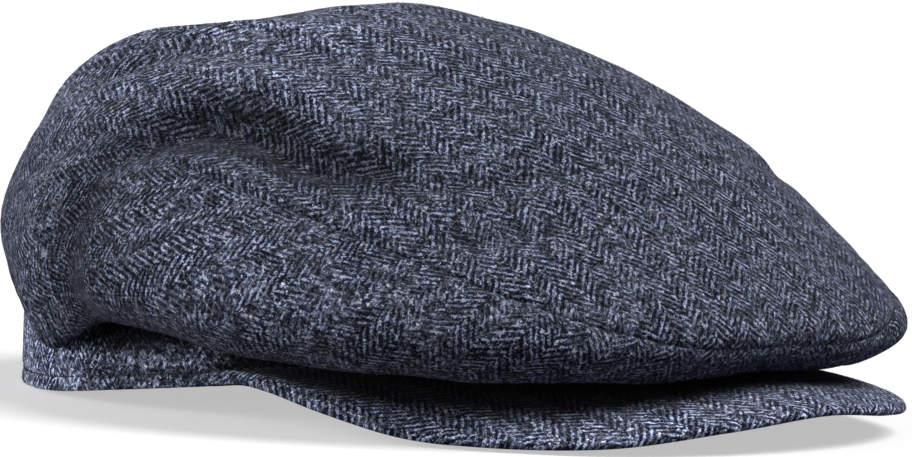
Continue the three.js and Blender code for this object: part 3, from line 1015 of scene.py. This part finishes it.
def hem_stitches():
    piece = new_primitive("hem_stitches", bpy.ops.mesh.primitive_uv_sphere_add,
                          segments=8, ring_count=6, radius=0.5)
    one = vertices_of(piece) * [stitch_length, stitch_width * stitch_flatness, stitch_width]
    piece.data.calc_loop_triangles()
    faces = np.array([tuple(t.vertices) for t in piece.data.loop_triangles])
    turns = np.arange(-180, 180, 0.25)
    length = band_length(turns)
    angle = np.interp(np.arange(0, length[-1] - stitch_pitch / 2, stitch_pitch), length, turns)
    height = hem_height(angle) + hem_stitch_height
    centre = place(angle, band_outer(angle) - stitch_sunk, height)
    ahead = on_hem(angle + 1) - on_hem(angle - 1)
    ahead /= np.linalg.norm(ahead, axis=1, keepdims=True)
    out = np.cross(ahead, [0, 0, 1])
    out /= np.linalg.norm(out, axis=1, keepdims=True)
    over = np.cross(out, ahead)
    points = centre[:, None] + one @ np.stack([ahead, out, over], 1)
    count = len(angle)
    copies = faces + np.arange(count)[:, None, None] * len(one)
    piece.data.clear_geometry()
    piece.data.from_pydata(points.reshape(-1, 3).tolist(), [], copies.reshape(-1, 3).tolist())
    edit(piece, lambda: bpy.ops.mesh.normals_make_consistent(inside=False),
         lambda: bpy.ops.mesh.faces_shade_smooth())
    piece.data.materials.append(thread)
    print(piece.name, count, "stitches,", triangles(piece), "triangles")
    return piece


stitches = hem_stitches()
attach(stitches, "root")

# %% [markdown]
# ## Nap
#
# Loose fibres stand off the cloth and blur its outline against the light. A
# texture can't do that at the silhouette, so they are modelled: each fibre is
# a curved sliver of three triangles. A particle system would be the usual tool,
# but it leaves hair that no other program can read, and here every fibre is
# part of an ordinary mesh. Fewer stand where the painted shade is dark, because
# a pale fibre in a deep crease would look like a fleck of dust. The places are
# drawn from a seeded generator, so each run gives the same nap, but not on the
# top panel: a sphere's faces come in no fixed order, and its fibres move.

# %% Nap fibres
fibre_dark, fibre_light = (0.04, 0.045, 0.07, 1), (0.5, 0.52, 0.6, 1)
wool_fibre, tree, surface = new_material("wool_fibre")
where = add_node(tree, "ShaderNodeTexCoord").outputs["Object"]
fibre_shade = ramp(tree, noise(tree, where, 900, 1), 0.42, 0.7)
tree.links.new(blend_colour(tree, fibre_shade, fibre_dark, fibre_light), surface["Base Color"])
surface["Roughness"].default_value = 0.8
surface["Specular IOR Level"].default_value = 0.1

# The least of each, and how much more the longest, steepest or thickest has
length_least, length_more = 0.6, 1.5
steep_least, steep_more = 0.08, 0.5
half_least, half_more = 0.025, 0.02
bare_until, bare_slope, nap_least = 1.1, 1.8, 0.02
foot_depth = 0.05 * MM


def nap(piece, per_square_mm, seed):
    quads = outer_faces[piece.name]
    normals = np.cross(quads[:, 2] - quads[:, 0], quads[:, 3] - quads[:, 1])
    areas = np.linalg.norm(normals, axis=1) / 2
    normals /= 2 * areas[:, None]
    chance = areas * np.clip(bare_until + bare_slope * outer_shade[piece.name], nap_least, 1)
    count = int(chance.sum() / MM**2 * per_square_mm)
    rng = np.random.default_rng(seed)
    face = rng.choice(len(areas), count, p=chance / chance.sum())
    u, v = rng.random((2, count, 1))
    q = quads[face]
    root = (q[:, 0] * (1 - u) + q[:, 1] * u) * (1 - v) + (q[:, 3] * (1 - u) + q[:, 2] * u) * v
    up = normals[face]
    lie = np.cross(up, rng.normal(size=(count, 3)))
    lie /= np.linalg.norm(lie, axis=1, keepdims=True)
    beside = np.cross(up, lie)
    length = (length_least + length_more * rng.random((count, 1)) ** 3) * MM
    steep = steep_least + steep_more * rng.random((count, 1)) ** 2
    curl = rng.normal(size=(count, 1)) * 0.5
    half = (half_least + half_more * rng.random((count, 1))) * MM
    knee = root + length * 0.5 * (lie * (1 - 0.3 * steep) + up * steep)
    tip = knee + length * 0.5 * (lie + beside * curl + up * steep * 0.2)
    foot = root - up * foot_depth
    wide = beside * half
    points = np.stack([foot - wide, foot + wide, knee - wide, knee + wide, tip], 1).reshape(-1, 3)
    points[:, 2] = np.maximum(points[:, 2], 0)
    first = np.arange(count)[:, None] * 5
    slivers = np.concatenate([first + [0, 1, 3], first + [0, 3, 2], first + [2, 3, 4]], 1).reshape(-1, 3)
    mesh = bpy.data.meshes.new(piece.name.replace("cloth", "nap"))
    mesh.from_pydata(points.tolist(), [], slivers.tolist())
    mesh.materials.append(wool_fibre)
    hairs = bpy.data.objects.new(mesh.name, mesh)
    bpy.context.scene.collection.objects.link(hairs)
    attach(hairs, "root")
    print(hairs.name, count, "fibres,", len(slivers), "triangles")
    return hairs


napped = [(top, 0.9), (right, 0.9), (left, 0.9), (band, 0.8), (brim, 0.8)]
for seed, (piece, per_square_mm) in enumerate(napped):
    nap(piece, per_square_mm, seed)

# %% [markdown]
# ## Floor, light and camera
#
# A plain pale floor that reaches past the horizon is its own backdrop. Both
# lights are very soft suns, because a sun lights the whole floor evenly. The
# key stands high to the right of the camera, and the fill low to the left.
# The dim world fills the shadows. The floor gives the camera its full
# paleness and throws less light back up, so that the cap isn't lit from below.

# %% Floor
floor = new_primitive("floor", bpy.ops.mesh.primitive_plane_add, size=60, location=(0, 0, 0))
paper_bounce, paper_seen = (0.2, 0.2, 0.21, 1), (0.55, 0.55, 0.55, 1)
paper, tree, surface = new_material("paper")
seen = add_node(tree, "ShaderNodeLightPath").outputs["Is Camera Ray"]
tree.links.new(blend_colour(tree, seen, paper_bounce, paper_seen), surface["Base Color"])
tree.links.new(calc(tree, "MULTIPLY", seen, 0.5), surface["Emission Strength"])
surface["Emission Color"].default_value = (1, 1, 1, 1)
surface["Roughness"].default_value = 0.95
surface["Specular IOR Level"].default_value = 0.0
floor.data.materials.append(paper)

# %% Light
world = bpy.data.worlds.new("studio")
world.use_nodes = True
background = world.node_tree.nodes["Background"].inputs
background["Color"].default_value = (1, 1, 1, 1)
background["Strength"].default_value = 0.15
bpy.context.scene.world = world


def soft_sun(name, from_where, power, spread):
    light = bpy.data.lights.new(name, "SUN")
    light.energy = power
    light.angle = math.radians(spread)
    lamp = bpy.data.objects.new(name, light)
    bpy.context.scene.collection.objects.link(lamp)
    lamp.location = from_where
    aim = Vector((0, 0, 50 * MM)) - Vector(from_where)
    lamp.rotation_euler = aim.to_track_quat("-Z", "Y").to_euler()


azimuth, elevation, roll = math.radians(-48), math.radians(3.6), math.radians(1.9)
back = np.array([math.sin(azimuth) * math.cos(elevation), -math.cos(azimuth) * math.cos(elevation),
                 math.sin(elevation)])
level = np.cross([0, 0, 1], back)
level /= np.linalg.norm(level)
upright = np.cross(back, level)
soft_sun("key", 2 * (0.5 * level + 0.25 * back + 0.83 * upright), 2.9, 40)
soft_sun("fill", 2 * (-0.95 * level + 0.25 * back + 0.15 * upright), 2.9, 60)

# %% Camera
distance, lens_pixels, picture_width, sensor_width = 1.4, 5165, 912, 36
target = np.array([3.2, -27.75, 47.9]) * MM + middle
to_right = level * math.cos(roll) + upright * math.sin(roll)
to_top = upright * math.cos(roll) - level * math.sin(roll)
camera = bpy.data.objects.new("camera", bpy.data.cameras.new("camera"))
bpy.context.scene.collection.objects.link(camera)
axes = np.column_stack([to_right, to_top, back, target + back * distance])
placed = np.vstack([axes, [0, 0, 0, 1]])
camera.matrix_world = Matrix(placed.tolist())
camera.data.sensor_width = sensor_width
camera.data.lens = lens_pixels / picture_width * sensor_width
bpy.context.scene.camera = camera
bpy.context.scene.view_settings.view_transform = "Standard"
print("camera at", placed[:3, 3].round(3), "lens", round(camera.data.lens, 1))
